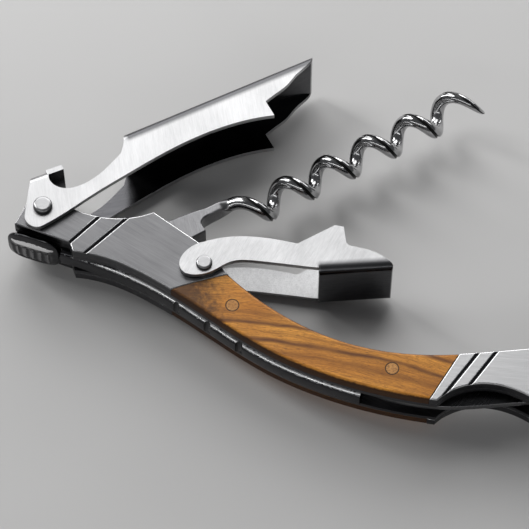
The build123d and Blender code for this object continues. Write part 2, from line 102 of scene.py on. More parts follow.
class Graph:
    """A material's node tree, with short calls that add a node and join it up."""

    def __init__(self, name):
        self.material = bpy.data.materials.new(name)
        self.material.use_nodes = True
        self.tree = self.material.node_tree
        self.shader = self.tree.nodes["Principled BSDF"]

    def node(self, kind, inputs=None, **settings):
        """Add a node. Each input, given by name or number, takes a value or another node's output."""
        made = self.tree.nodes.new(kind)
        for key, value in settings.items():
            setattr(made, key, value)
        for key, value in (inputs or {}).items():
            self.feed(made.inputs[key], value)
        return made

    def feed(self, socket, value):
        if isinstance(value, bpy.types.NodeSocket):
            self.tree.links.new(value, socket)
        else:
            socket.default_value = value

    def math(self, operation, first, second=0.0):
        return self.node("ShaderNodeMath", {0: first, 1: second}, operation=operation).outputs[0]

    def split(self, vector):
        """The X, Y and Z parts of a vector."""
        return self.node("ShaderNodeSeparateXYZ", {0: vector}).outputs

    def spread(self, value, low, high, to_low=0.0, to_high=1.0, smooth=False):
        """Map a value from low..high to to_low..to_high."""
        kind = "SMOOTHSTEP" if smooth else "LINEAR"
        inputs = {"Value": value, "From Min": low, "From Max": high, "To Min": to_low, "To Max": to_high}
        return self.node("ShaderNodeMapRange", inputs, interpolation_type=kind).outputs[0]

    def vary(self, noise, to_low=0.0, to_high=1.0):
        """Map a noise's usual range to to_low..to_high."""
        return self.spread(noise, *NOISE_RANGE, to_low, to_high)

    def blend(self, share, first, second):
        """Mix of two colours, each an output or an RGB triple."""
        made = self.node("ShaderNodeMix", data_type="RGBA")
        self.feed(made.inputs[0], share)
        for number, colour in ((6, first), (7, second)):
            self.feed(made.inputs[number], (*colour, 1) if isinstance(colour, tuple) else colour)
        return made.outputs[2]

    def stain(self, body, noise, low, high, strength, colour):
        """Colour laid over the body where a noise rises from low to high."""
        return self.blend(self.math("MULTIPLY", self.spread(noise, low, high), strength), body, colour)

    def position(self):
        """Surface point in millimetres from the long lever's rivet."""
        local = self.node("ShaderNodeTexCoord").outputs["Object"]
        shift = self.node("ShaderNodeVectorMath", {0: local, 1: RIVET}, operation="SUBTRACT").outputs[0]
        return self.node("ShaderNodeVectorMath", {0: shift, "Scale": 1 / MM}, operation="SCALE").outputs[0]

    def turned(self, point, angle, stretch):
        """The point turned so that X lies along an angle in plan, then divided by a stretch on each axis."""
        turned = self.node("ShaderNodeVectorRotate", {"Vector": point, "Angle": -radians(angle)},
                           rotation_type="Z_AXIS").outputs[0]
        sizes = Vector((1 / stretch[0], 1 / stretch[1], 1 / stretch[2]))
        return self.node("ShaderNodeVectorMath", {0: turned, 1: sizes}, operation="MULTIPLY").outputs[0]

    def noise(self, point, scale=1.0, detail=3.0, roughness=0.5):
        inputs = {"Vector": point, "Scale": scale, "Detail": detail, "Roughness": roughness}
        return self.node("ShaderNodeTexNoise", inputs).outputs[0]

    def bump(self, height, strength, depth):
        """Bump of a height from 0 to 1, depth in millimetres."""
        return self.node("ShaderNodeBump", {"Height": height, "Strength": strength,
                                            "Distance": depth * MM}).outputs[0]

    def finish(self, **sockets):
        for key, value in sockets.items():
            self.feed(self.shader.inputs[key.replace("_", " ")], value)
        return self.material


# ---- steels -------------------------------------------------------------------------
SHADE_DARK, SHADE_LIGHT = (0.06, 0.06, 0.065), (0.11, 0.11, 0.115)    # painted shade on steel: the dark of shaded folds, insides, engraved lines and sides
SCRATCH_TURN = 63.0          # from the brush to the stray scratches
SCRATCH_SIZE = (14.0, 0.09, 0.4)
SCRATCH_TONE = 0.6           # of the steel's dark colour
FINE_SHARE = 0.65            # of the fine brush in the grain; broad streaks make up the rest
FOLD_SHADE_STRENGTH = 0.9         # strength of the painted shade band beside a fold


def steel(name, dark, light, rough, brush_angle=0.0, brush=(9.0, 0.16, 0.16), brush_depth=0.012,
          scratches=0.35, dark_below=None, fold=None, dark_sides=False):
    """Stainless steel: a directional brush, faint cross scratches and soft, uneven polish.

    dark_below gives two heights from the middle plane: painted shade makes the steel dark below the first.
    fold gives a folded edge's plan start, its direction and the width of the painted shade band on each side
    of it.
    dark_sides paints shade on the faces that aren't level, leaving them dark.
    """
    g = Graph(name)
    point = g.position()
    broad_brush = (brush[0] * 3, brush[1] * 5, brush[2] * 5)
    fine = g.noise(g.turned(point, brush_angle, brush), detail=4.0, roughness=0.65)
    broad = g.noise(g.turned(point, brush_angle, broad_brush), detail=2.0)
    cloud = g.noise(point, scale=0.11, detail=3.0)
    stray = g.noise(g.turned(point, brush_angle + SCRATCH_TURN, SCRATCH_SIZE), detail=1.0)
    scratch = g.spread(stray, 0.70, 0.76)
    grain = g.math("ADD", g.math("MULTIPLY", fine, FINE_SHARE), g.math("MULTIPLY", broad, 1 - FINE_SHARE))
    colour = g.blend(g.vary(grain), dark, light)
    colour = g.blend(g.math("MULTIPLY", scratch, scratches), colour, tuple(c * SCRATCH_TONE for c in dark))
    uneven = g.math("ADD", g.spread(grain, 0.25, 0.75, *rough), g.vary(cloud, -0.05, 0.05))
    # Painted shade on a folded edge's round.
    if dark_below is not None:
        off_middle = g.math("ABSOLUTE", g.split(point)[2])
        unshaded = g.spread(off_middle, *dark_below, smooth=True)
        shade_tone = g.blend(g.vary(cloud), SHADE_DARK, SHADE_LIGHT)
        colour = g.blend(unshaded, shade_tone, colour)
        uneven = g.math("MULTIPLY", uneven, g.spread(unshaded, 0.0, 1.0, 0.5, 1.0))
    # Painted shade in a band beside the fold, past its start.
    if fold is not None:
        start, heading, band = fold
        along_x, along_y = cos(radians(heading)), sin(radians(heading))
        x, y = g.split(point)[:2]
        x, y = g.math("SUBTRACT", x, start[0]), g.math("SUBTRACT", y, start[1])
        off = g.math("SUBTRACT", g.math("MULTIPLY", y, along_x), g.math("MULTIPLY", x, along_y))
        along = g.math("ADD", g.math("MULTIPLY", x, along_x), g.math("MULTIPLY", y, along_y))
        fold_shade = g.spread(g.math("ABSOLUTE", off), band, 0.5 * band, 0.0, FOLD_SHADE_STRENGTH, smooth=True)
        colour = g.blend(g.math("MULTIPLY", fold_shade, g.spread(along, -0.5, 0.5)), colour, SHADE_DARK)
    # Painted shade on the faces that aren't level.
    if dark_sides:
        facing = g.node("ShaderNodeTexCoord").outputs["Normal"]
        level = g.math("ABSOLUTE", g.split(facing)[2])
        colour = g.blend(g.spread(level, 0.35, 0.85), SHADE_DARK, colour)
    height = g.math("SUBTRACT", grain, g.math("MULTIPLY", scratch, 0.5))
    return g.finish(Base_Color=colour, Metallic=1.0, Roughness=uneven,
                    Normal=g.bump(height, 1.0, brush_depth))


LONG_FOLD = 45.2             # direction of the long lever's web
LIFTER_FOLD = 41.6           # of the cap lifter's lip
SHORT_FOLD = 22.9            # of the short lever's web
FOLD_SHADE_BELOW = (6.5, 7.54)    # heights between which a folded edge turns from painted shade to brushed
# Both lever looks paint shade in a band beside the web's fold.
LEVER_LOOK = dict(dark=(0.42, 0.42, 0.425), light=(0.57, 0.57, 0.575), rough=(0.32, 0.42), brush_angle=118.0,
                  brush=(2.6, 0.16, 0.16), brush_depth=0.010, scratches=0.25,
                  fold=((10.0, 23.3), LONG_FOLD, 2.9))
LEG_LOOK = dict(dark=(0.40, 0.40, 0.405), light=(0.60, 0.60, 0.605), rough=(0.34, 0.44), brush_angle=80.0,
                brush=(1.6, 0.2, 0.2), brush_depth=0.012, fold=((61.8, 4.1), SHORT_FOLD, 3.0))
BOLSTER_BRUSH = dict(rough=(0.33, 0.44), brush=(5.0, 0.14, 0.14), brush_depth=0.012, scratches=0.25)

LEVER_STEEL = steel("lever_steel", **LEVER_LOOK)
# The fold steels add painted shade on the rounds of the folded edges.
LEVER_FOLD_SHADED = steel("lever_fold_painted_shade_steel", **LEVER_LOOK, dark_below=FOLD_SHADE_BELOW)
LEG_STEEL = steel("leg_steel", **LEG_LOOK)
LEG_FOLD_SHADED = steel("leg_fold_painted_shade_steel", **LEG_LOOK, dark_below=FOLD_SHADE_BELOW)
# Painted shade: a dark steel for the levers' insides and the bottoms of the engraved lines.
SHADE_STEEL = steel("painted_shade_steel", SHADE_DARK, SHADE_LIGHT, (0.14, 0.24), brush_angle=30.0,
                   brush=(6.0, 0.4, 0.4), brush_depth=0.004, scratches=0.15)
# Painted light: a bright copy of the steel for the short lever's lit lower wall inside.
LIT_WALL_STEEL = steel("painted_light_wall_steel", (0.55, 0.55, 0.555), (0.85, 0.85, 0.855), (0.55, 0.7),
                      brush_angle=30.0, brush=(0.3, 0.3, 0.3), brush_depth=0.03, scratches=0.1)
# The bolsters are one steel as shaded and lit copies: painted shade on the head, painted light on the tail.
HEAD_BOLSTER_SHADED_STEEL = steel("bolster_steel", (0.13, 0.13, 0.135), (0.22, 0.22, 0.225), brush_angle=-14.0,
                      **BOLSTER_BRUSH)
TAIL_BOLSTER_LIT_STEEL = steel("tail_bolster_painted_light_steel", (0.42, 0.42, 0.425), (0.58, 0.58, 0.585), brush_angle=14.0,
                   **BOLSTER_BRUSH)
SPRING_STEEL = steel("spring_steel", (0.03, 0.03, 0.033), (0.06, 0.06, 0.064), (0.12, 0.18),
                     brush_angle=-15.0, brush=(5.0, 0.3, 0.3), brush_depth=0.001, scratches=0.15)
WORM_STEEL = steel("worm_steel", (0.40, 0.40, 0.405), (0.48, 0.48, 0.485), (0.15, 0.20), brush_angle=49.0,
                   brush=(5.0, 0.8, 0.8), brush_depth=0.0, scratches=0.0)
# Painted highlights on broken edges, the spring's notch ends and crown rims and the thumb tab's ridge.
HIGHLIGHT_STEEL = steel("painted_highlight_steel", (0.75, 0.75, 0.755), (0.88, 0.88, 0.885), (0.22, 0.32), brush_angle=0.0,
                   brush=(2.0, 0.4, 0.4), brush_depth=0.0, scratches=0.0)
# Painted shade in the worm's groove and the spring's notches.
GROOVE_SHADE_STEEL = steel("groove_painted_shade_steel", (0.02, 0.02, 0.02), (0.04, 0.04, 0.04), (0.3, 0.4), brush_angle=49.0,
                     brush=(3.0, 0.5, 0.5), brush_depth=0.0, scratches=0.0)
TAB_STEEL = steel("tab_steel", (0.035, 0.035, 0.037), (0.065, 0.065, 0.068), (0.10, 0.16), brush_angle=0.0,
                  brush=(3.0, 0.4, 0.4), brush_depth=0.001, scratches=0.1)
TANG_STEEL = steel("tang_steel", (0.14, 0.14, 0.145), (0.25, 0.25, 0.255), (0.26, 0.36), brush_angle=120.0,
                   brush=(2.0, 0.2, 0.2), brush_depth=0.008)
# The rivets' steel has painted shade on its sides.
RIVET_STEEL = steel("rivet_steel", (0.30, 0.30, 0.305), (0.42, 0.42, 0.425), (0.26, 0.34), brush_angle=40.0,
                    brush=(1.0, 0.12, 0.12), brush_depth=0.004, dark_sides=True)
LINER_STEEL = steel("liner_steel", (0.045, 0.045, 0.048), (0.085, 0.085, 0.09), (0.26, 0.38),
                    brush_angle=-14.0)
BLADE_STEEL = steel("blade_steel", (0.20, 0.20, 0.205), (0.27, 0.27, 0.275), (0.24, 0.34), brush_angle=70.0,
                    brush=(3.0, 0.12, 0.12), brush_depth=0.004, scratches=0.05)
WASHER_STEEL = steel("washer_steel", (0.14, 0.14, 0.145), (0.2, 0.2, 0.205), (0.28, 0.40),
                     brush=(1.0, 0.12, 0.12))

# ---- wood and floor -----------------------------------------------------------------
GRAIN_CREST = (93.7, -10.4)  # top of the arch that the grain follows
GRAIN_BEND = 0.00286         # its fall to either side, per millimetre squared
GRAIN_LEAN = 0.35            # shift of the grain towards -Y with each millimetre of height
SCALE_FACE = 6.0             # height at which there is no shift
STREAKS = (                  # place above the arch, half width, strength
    (0.0, 0.6, 1.0), (3.95, 0.55, 1.0), (-2.6, 0.6, 0.5), (1.9, 0.35, 0.3), (6.6, 0.6, 0.35))
STREAK_FADE = 1.6            # half widths at which a streak has faded out
WOOD_DEEP, WOOD_GOLD = (0.62, 0.238, 0.031), (0.86, 0.385, 0.060)
RING_BROWN, FIBRE_BROWN = (0.26, 0.095, 0.02), (0.20, 0.07, 0.014)
STREAK_BROWN, FLECK_BROWN = (0.10, 0.034, 0.010), (0.24, 0.085, 0.016)
# The rim and seam browns are painted shade on the scale's rounded rims and a painted shadow beside the head
# bolster.
PORE_BROWN, RIM_SHADE_BROWN, SEAM_SHADOW_BROWN = (0.06, 0.02, 0.006), (0.030, 0.012, 0.006), (0.05, 0.022, 0.010)
RIM_SHADE_RISE = (0.55, 0.985)     # Z of the surface's normal where the painted shade on a rim is darkest, and where it has faded out
SEAM_SLOPE = 0.5             # lean of the seam beside the head bolster, along which the painted shadow lies
SEAM_SHADOW_DARKEST, SEAM_SHADOW_END = 33.0, 42.5   # X, where the seam meets Y = 0, of the painted shadow's darkest part and of its end

PEGS = ((46.6, -8.8), (83.4, -12.1))
PEG_DEEP, PEG_PALE = (0.50, 0.235, 0.062), (0.68, 0.35, 0.11)
PEG_SPECKLE, PEG_GAP_SHADE = (0.24, 0.10, 0.035), (0.03, 0.012, 0.005)
PEG_RING = (1.18, 1.36)      # from the peg's middle, where the painted gap shade starts to show and where it is full
WOOD_SHINE = 0.3             # specular level: oil, not lacquer


def olive_wood():
    """Oiled olive wood: arched streaks, fine fibres, short pores, painted shade on the rims and a painted
    shadow by the head.
    """
    g = Graph("olive_wood_oiled")
    point = g.position()
    along, across, depth = g.split(point)
    reach = g.math("SUBTRACT", along, GRAIN_CREST[0])
    arch = g.math("MULTIPLY", g.math("MULTIPLY", reach, reach), GRAIN_BEND)
    level = g.math("ADD", g.math("SUBTRACT", across, GRAIN_CREST[1]), arch)
    level = g.math("ADD", level, g.math("MULTIPLY", g.math("SUBTRACT", depth, SCALE_FACE), GRAIN_LEAN))
    sway = g.noise(g.turned(point, 0, (14.0, 6.0, 9.0)), detail=2.0)
    level = g.math("ADD", level, g.vary(sway, -0.45, 0.45))
    lined = g.node("ShaderNodeCombineXYZ", {0: along, 1: level, 2: depth}).outputs[0]

    def grain(size, **options):
        """Noise whose marks have a size along, across and into the grain."""
        return g.noise(g.turned(lined, 0, size), **options)

    rings = grain((34.0, 1.5, 12.0), detail=3.0, roughness=0.55)
    fibre = grain((5.0, 0.16, 0.5), detail=3.0, roughness=0.6)
    cloud = grain((18.0, 5.0, 8.0), detail=2.0)
    pore = grain((1.5, 0.10, 0.2), detail=1.0)

    streaks = 0.0
    for height, half_width, strength in STREAKS:
        away = g.math("ABSOLUTE", g.math("SUBTRACT", level, height))
        streak = g.spread(away, half_width * STREAK_FADE, 0.0, 0.0, strength, smooth=True)
        streaks = g.math("MAXIMUM", streaks, streak)
    streaks = g.math("MULTIPLY", streaks, g.spread(grain((9.0, 2.0, 6.0)), 0.3, 0.6, 0.55, 1.0))

    body = g.blend(g.vary(cloud), WOOD_DEEP, WOOD_GOLD)
    body = g.stain(body, rings, 0.46, 0.66, 0.42, RING_BROWN)
    body = g.blend(streaks, body, STREAK_BROWN)
    body = g.stain(body, fibre, 0.38, 0.62, 0.52, FIBRE_BROWN)
    fleck = grain((0.9, 0.28, 0.4), detail=3.0, roughness=0.7)
    body = g.stain(body, fleck, 0.48, 0.66, 0.45, FLECK_BROWN)
    body = g.stain(body, pore, 0.66, 0.72, 0.7, PORE_BROWN)

    # Painted shade on the rims and sides, where the surface turns away from level, with a ragged edge.
    facing = g.node("ShaderNodeNewGeometry").outputs["Normal"]
    upright = g.math("ABSOLUTE", g.split(facing)[2])
    ragged = g.noise(point, scale=1.6, detail=4.0, roughness=0.7)
    upright = g.math("ADD", upright, g.vary(ragged, -0.12, 0.12))
    rim = g.spread(upright, *RIM_SHADE_RISE, 0.94, 0.0, smooth=True)
    body = g.blend(rim, body, RIM_SHADE_BROWN)

    # Painted shadow beside the head bolster, with a mottled edge.
    from_seam = g.math("ADD", along, g.math("MULTIPLY", across, SEAM_SLOPE))
    mottle = g.noise(point, scale=0.5, detail=4.0, roughness=0.65)
    from_seam = g.math("ADD", from_seam, g.vary(mottle, -3.5, 3.5))
    body = g.blend(g.spread(from_seam, SEAM_SHADOW_DARKEST, SEAM_SHADOW_END, 0.85, 0.0, smooth=True), body, SEAM_SHADOW_BROWN)

    height = g.math("SUBTRACT", g.math("MULTIPLY", fibre, 0.6), g.spread(pore, 0.66, 0.76, 0.0, 0.8))
    rough = g.math("ADD", g.vary(fibre, 0.38, 0.50), g.math("MULTIPLY", rim, 0.3))
    return g.finish(Base_Color=body, Roughness=rough, Normal=g.bump(height, 0.7, 0.03),
                    Specular_IOR_Level=WOOD_SHINE)


def peg_wood():
    """End of a hardwood peg: fine speckled end grain with a painted shade ring in the gap round it."""
    g = Graph("peg_end_grain")
    point = g.position()
    speckle = g.noise(g.turned(point, 25, (0.5, 0.22, 0.5)), detail=4.0, roughness=0.7)
    cloud = g.noise(point, scale=0.6, detail=2.0)
    body = g.blend(g.vary(cloud), PEG_DEEP, PEG_PALE)
    body = g.stain(body, speckle, 0.42, 0.62, 0.85, PEG_SPECKLE)
    # Painted shade in the gap round each peg.
    x, y = g.split(point)[:2]
    flat = g.node("ShaderNodeCombineXYZ", {0: x, 1: y}).outputs[0]
    away = [g.node("ShaderNodeVectorMath", {0: flat, 1: (*peg, 0)}, operation="DISTANCE").outputs["Value"]
            for peg in PEGS]
    ring = g.spread(g.math("MINIMUM", *away), *PEG_RING, 0.0, 0.92, smooth=True)
    body = g.blend(ring, body, PEG_GAP_SHADE)
    return g.finish(Base_Color=body, Roughness=g.vary(speckle, 0.4, 0.55), Specular_IOR_Level=WOOD_SHINE,
                    Normal=g.bump(speckle, 0.8, 0.05))


def floor_finish():
    g = Graph("studio_floor")
    point = g.node("ShaderNodeTexCoord").outputs["Object"]
    cloud = g.noise(point, scale=9.0, detail=3.0)
    tone = g.blend(g.vary(cloud), (0.56, 0.555, 0.55), (0.60, 0.595, 0.59))
    return g.finish(Base_Color=tone, Roughness=0.75)


OLIVE = olive_wood()
PEG = peg_wood()


# ---- meshes -------------------------------------------------------------------------
LEVEL = 0.9995               # Z of a face's normal from which the face counts as level and stays flat shaded
WELD = 0.003                 # vertices closer than this are one
BEVEL_STEPS = 4
MITRE_LIMIT = 0.35           # keeps the corners of an inset loop from running away


def finish_mesh(bm, name, body, materials, replaces, crease=28.0):
    """Turn a bmesh in row-frame metres into a smooth-shaded piece that rides on a body."""
    bmesh.ops.recalc_face_normals(bm, faces=bm.faces)
    for face in bm.faces:
        face.smooth = abs(face.normal.z) < LEVEL
    for edge in bm.edges:
        edge.smooth = edge.is_manifold and edge.calc_face_angle(0) < radians(crease)
    mesh = bpy.data.meshes.new(name)
    bm.to_mesh(mesh)
    bm.free()
    for material in materials:
        mesh.materials.append(material)
    piece = bpy.data.objects.new(name, mesh)
    bpy.context.scene.collection.objects.link(piece)
    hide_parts(*replaces)
    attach(piece, body)
    return piece


def rounded(node, width, materials, edge_angle=40.0, paint=None):
    """Copy of a CAD piece with its sharp outer edges rounded over.

    paint takes a face's normal and centre and gives the number of its material.
    """
    bm = bmesh.new()
    bm.from_mesh(frame["nodes"][node].data)
    bmesh.ops.scale(bm, vec=(1 / MM,) * 3, verts=bm.verts)
    bmesh.ops.remove_doubles(bm, verts=bm.verts, dist=WELD)
    bmesh.ops.dissolve_limit(bm, angle_limit=radians(0.4), verts=bm.verts, edges=bm.edges)
    sharp = [e for e in bm.edges
             if e.is_manifold and e.is_convex and e.calc_face_angle(0) > radians(edge_angle)]
    bmesh.ops.bevel(bm, geom=sharp, offset=width, offset_type="OFFSET", segments=BEVEL_STEPS, profile=0.5,
                    affect="EDGES", clamp_overlap=True, miter_outer="ARC", miter_inner="SHARP")
    bmesh.ops.scale(bm, vec=(MM,) * 3, verts=bm.verts)
    if paint is not None:
        bm.normal_update()
        for face in bm.faces:
            face.material_index = paint(face.normal, (face.calc_center_median() - RIVET) / MM)
    return finish_mesh(bm, node + "_fine", frame["nodes"][node]["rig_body"], materials, [node])


def skin(bm, one, two):
    """Faces between two closed rings of vertices, in the rings' order."""
    after = [(step + 1) % len(one) for step in range(len(one))]
    return [bm.faces.new((one[step], one[following], two[following], two[step]))
            for step, following in enumerate(after)]


def superellipse(turn, power):
    """Distance from the centre of a rounded square, 2 wide, to its outline, at an angle."""
    return (abs(cos(turn)) ** power + abs(sin(turn)) ** power) ** (-1 / power)


def ease(share):
    share = min(max(share, 0.0), 1.0)
    return share * share * (3 - 2 * share)


def fade(value, end, length):
    """Share that falls smoothly from 1 to 0 over a length, and is 0 from the end onwards."""
    return ease((end - value) / length)


def bell(value):
    return exp(-value * value)


# ---- pieces rounded over from the CAD -----------------------------------------------
# The painters sort faces by the Z of their normal (1 is level) and by where their centre is, in millimetres.
LEVER_WALL = 6.35            # half the free width inside the levers
LEVER_FACE = 7.55            # half the width outside
BROKEN_EDGE = 0.2            # height of the rounding on the wall's inner edge
BROKEN_RISE = (0.15, 0.98)   # of that rounding
WALL_MARGIN = 0.03           # faces up to this far above the wall's inside count as inside
WALL_RISE = 0.9              # above this a face is the inside of the lower wall
FOLD_RISE = (0.02, 0.999)    # of a folded edge's round
ACROSS_FOLD = 0.97           # cosine of how squarely a face has to face away from a fold to belong to it

SIDE_RISE = 0.3              # below this a bolster's face is a side
LINE_RISE, EDGE_RISE = 0.74, 0.8     # bottoms of the engraved lines lie between these
FACE_RISE = 0.999            # above this a bolster's face is the brushed one

NOTCHES = ((34.3, -10.9), (42.2, -13.2), (50.3, -15.6))
NOTCH_REACH = 0.95
NOTCH_RISE = 0.5             # below this a face in a notch is its wall
NOTCH_SHADE = 1.1             # half the painted shade in the middle of a notch
CROWN_HIGHLIGHT_RISE = (0.6, 0.94)     # of the rims of the spring's crown, which carry a painted highlight
SPRING_BACK = -7.0           # the crown is below this Y
BACKWARD = -0.9              # Y of a face's normal below which it belongs to the crown


def fold_paint(*angles):
    """Painter for a folded lever, given the plan directions of its folded edges.

    0 outer faces and cut edges, 1 folds in painted shade, 2 inside and web in painted shade,
    3 the lower wall's inside (painted shade on the long lever, painted light on the short one), 4 a painted
    highlight on its broken edge.
    """
    away = [Vector((-sin(radians(angle)), cos(radians(angle)))) for angle in angles]

    def paint(normal, centre):
        height = abs(centre.z)
        broken = BROKEN_RISE[0] < normal.z < BROKEN_RISE[1]
        if centre.z < 0 and LEVER_WALL < height < LEVER_WALL + BROKEN_EDGE and broken:
            return 4
        if height < LEVER_WALL + WALL_MARGIN:
            return 3 if normal.z > WALL_RISE and centre.z < 0 else 2
        flat = Vector((normal.x, normal.y))
        if FOLD_RISE[0] < abs(normal.z) < FOLD_RISE[1] and height < LEVER_FACE and flat.length > 0:
            if max(abs(flat.normalized().dot(way)) for way in away) > ACROSS_FOLD:
                return 1
        return 0
    return paint


def bolster_paint(normal, _):
    """0 brushed face, 1 painted highlights on the broken edges, 2 painted shade in the bottoms of the
    engraved lines, 3 painted shade on the sides.
    """
    rise = abs(normal.z)
    if rise < SIDE_RISE:
        return 3
    if rise > FACE_RISE:
        return 0
    if rise > EDGE_RISE:
        return 1
    if rise > LINE_RISE:
        return 2
    return 1 if normal.y > 0 else 0


def spring_paint(normal, centre):
    """0 polished bar, 1 painted shade in the middles of the notches, 2 painted highlights on their ends and
    on the rims of the crown.
    """
    in_notch = any((centre.x - x) ** 2 + (centre.y - y) ** 2 < NOTCH_REACH ** 2 for x, y in NOTCHES)
    if in_notch and abs(normal.z) < NOTCH_RISE and normal.y > BACKWARD:
        return 2 if abs(centre.z) > NOTCH_SHADE else 1
    if normal.y < 0 and CROWN_HIGHLIGHT_RISE[0] < abs(normal.z) < CROWN_HIGHLIGHT_RISE[1] and centre.y < SPRING_BACK:
        return 2
    return 0


rounded("long_lever", 0.14, [LEVER_STEEL, LEVER_FOLD_SHADED, SHADE_STEEL, SHADE_STEEL, HIGHLIGHT_STEEL],
        paint=fold_paint(LONG_FOLD, LIFTER_FOLD))
rounded("short_lever", 0.16, [LEG_STEEL, LEG_FOLD_SHADED, SHADE_STEEL, LIT_WALL_STEEL, HIGHLIGHT_STEEL],
        paint=fold_paint(SHORT_FOLD))
for side in ("top", "bottom"):
    for end, brushed in (("head", HEAD_BOLSTER_SHADED_STEEL), ("tail", TAIL_BOLSTER_LIT_STEEL)):
        rounded(f"{side}_{end}_bolster", 0.12,
                [brushed, HIGHLIGHT_STEEL, SHADE_STEEL, LINER_STEEL], edge_angle=30.0, paint=bolster_paint)
    rounded(side + "_scale", 0.05, [OLIVE])
    rounded(side + "_liner", 0.08, [LINER_STEEL])
rounded("backspring", 0.10, [SPRING_STEEL, GROOVE_SHADE_STEEL, HIGHLIGHT_STEEL], paint=spring_paint)
rounded("foil_cutter", 0.10, [BLADE_STEEL])

# ---- worm ---------------------------------------------------------------------------
# Distances run along the worm's axis, towards its tip.
WORM_PIVOT = (25.5, 3.0)
WORM_ANGLE = radians(49.2)
WORM_ORIGIN = (49.8, 27.0)   # plan point on the axis from which distances are counted
WORM_PITCH = 10.65
WORM_RADIUS = 2.53           # of the wire's centre line
WIRE_RADIUS = 1.5
WORM_START = -14.8
WORM_BEND = 8.0              # length over which the neck turns into the spiral
WORM_STATIONS = 820
POINT_START = WORM_START + 5 * WORM_PITCH
POINT_LENGTH = 7.25
POINT_TURN = radians(185.0)  # turn of the spiral along the point
POINT_REACH = 4.08           # of the point's end, from the axis
POINT_GROOVE = 1.5           # the groove dies out over the first 1 / 1.5 of the point
POINT_TIP = 0.08             # radius of the wire at its end
POINT_TAPER = 0.6            # power of the taper: below 1 is blunt
POINT_CAP = 0.1              # length of the cone that closes the wire
LAST_CREST_REACH = 3.0       # of the wire's centre line where the point begins
LAST_CREST_LENGTH = 6.0      # length over which it gets there
NECK_START = -21.5
NECK_OFFSET = 3.72           # of the neck's start, to the left of the axis
NECK_HALF = 0.95             # half the neck's width
NECK_END = 0.8               # from the worm's start back to where the section is round again
NECK_LENGTH = 3.0            # length over which the section turns from square to round
NECK_STEEL = 0.9             # from the worm's start back to where the wire is polished
SETTLE_END, SETTLE_LENGTH = 4.3, 8.0     # past the start: end and length of the fading of the neck's offset
TALL_END, TALL_LENGTH = 0.8, 5.0         # and of its height
TANG_HALF = 2.33
TANG_EDGE = 0.3              # rounding of the tang's edges
TANG_HOLE = 1.55             # radius
NECK_TALL = TANG_HALF * 0.985 / WIRE_RADIUS      # half the neck's height, in wire radii
NECK_REACH = 2.0             # past the worm's start, where the neck stops holding the wire up
NECK_SOFTNESS = 0.002        # of the bend there
NECK_SQUARENESS = 10         # power of the superellipse that is the neck's section; 2 is round
GROOVE_HALF = 0.24           # half the groove's width, as an angle round the wire
GROOVE_DEPTH = 0.34
GROOVE_LENGTH = 3.0          # length over which the groove reaches its depth
GROOVE_STEPS = 10            # faces across the groove
WIRE_STEPS = 38              # faces round the rest of the wire


def along_worm(origin, distance, side):
    """Plan point at a distance along the worm's direction from a point, and to its left."""
    return (origin[0] + distance * cos(WORM_ANGLE) - side * sin(WORM_ANGLE),
            origin[1] + distance * sin(WORM_ANGLE) + side * cos(WORM_ANGLE))


def worm_station(distance):
    """Centre of the wire, its radius, neck share, height, groove share and angle at a distance."""
    turn_rate = 2 * pi / WORM_PITCH
    lead = distance - (WORM_START - WORM_BEND / 2)
    point = max((distance - POINT_START) / POINT_LENGTH, 0.0)
    if lead < WORM_BEND:
        angle = turn_rate * max(lead, 0.0) ** 2 / (2 * WORM_BEND)
    elif point == 0:
        angle = turn_rate * (distance - WORM_START)
    else:
        slowing = 1 - POINT_TURN / (turn_rate * POINT_LENGTH)
        angle = turn_rate * (POINT_START - WORM_START + POINT_LENGTH * point * (1 - slowing * point))
    neck = fade(distance, WORM_START - NECK_END, NECK_LENGTH)
    rising = ease(1 + (distance - POINT_START) / LAST_CREST_LENGTH) * (LAST_CREST_REACH - WORM_RADIUS)
    opening = ease(point) * (POINT_REACH - LAST_CREST_REACH)
    settling = fade(distance, WORM_START + SETTLE_END, SETTLE_LENGTH) * (NECK_OFFSET - WORM_RADIUS)
    reach = WORM_RADIUS + rising + opening + settling
    x, y = along_worm(WORM_ORIGIN, distance, reach * cos(angle))
    z = reach * sin(angle)
    height = 1 + (NECK_TALL - 1) * fade(distance, WORM_START + TALL_END, TALL_LENGTH)
    if distance < WORM_START + NECK_REACH:
        level = (NECK_TALL - height) * WIRE_RADIUS
        z = (z + level + ((z - level) ** 2 + NECK_SOFTNESS) ** 0.5) / 2
    radius = WIRE_RADIUS * (1 - point) ** POINT_TAPER + POINT_TIP * min(point * 4, 1)
    groove = ease((distance - WORM_START) / GROOVE_LENGTH) * (1 - ease(point * POINT_GROOVE))
    return Vector((x, y, z)), radius, neck, height, groove, angle


def wire_angles():
    """Angles round the wire's section, closer together in the groove, with a pair exactly on its edges."""
    half = GROOVE_STEPS // 2
    inside = [GROOVE_HALF * step / half for step in range(-half, half + 1)]
    rest = 2 * pi - 2 * GROOVE_HALF
    return inside + [GROOVE_HALF + rest * step / WIRE_STEPS for step in range(1, WIRE_STEPS)]


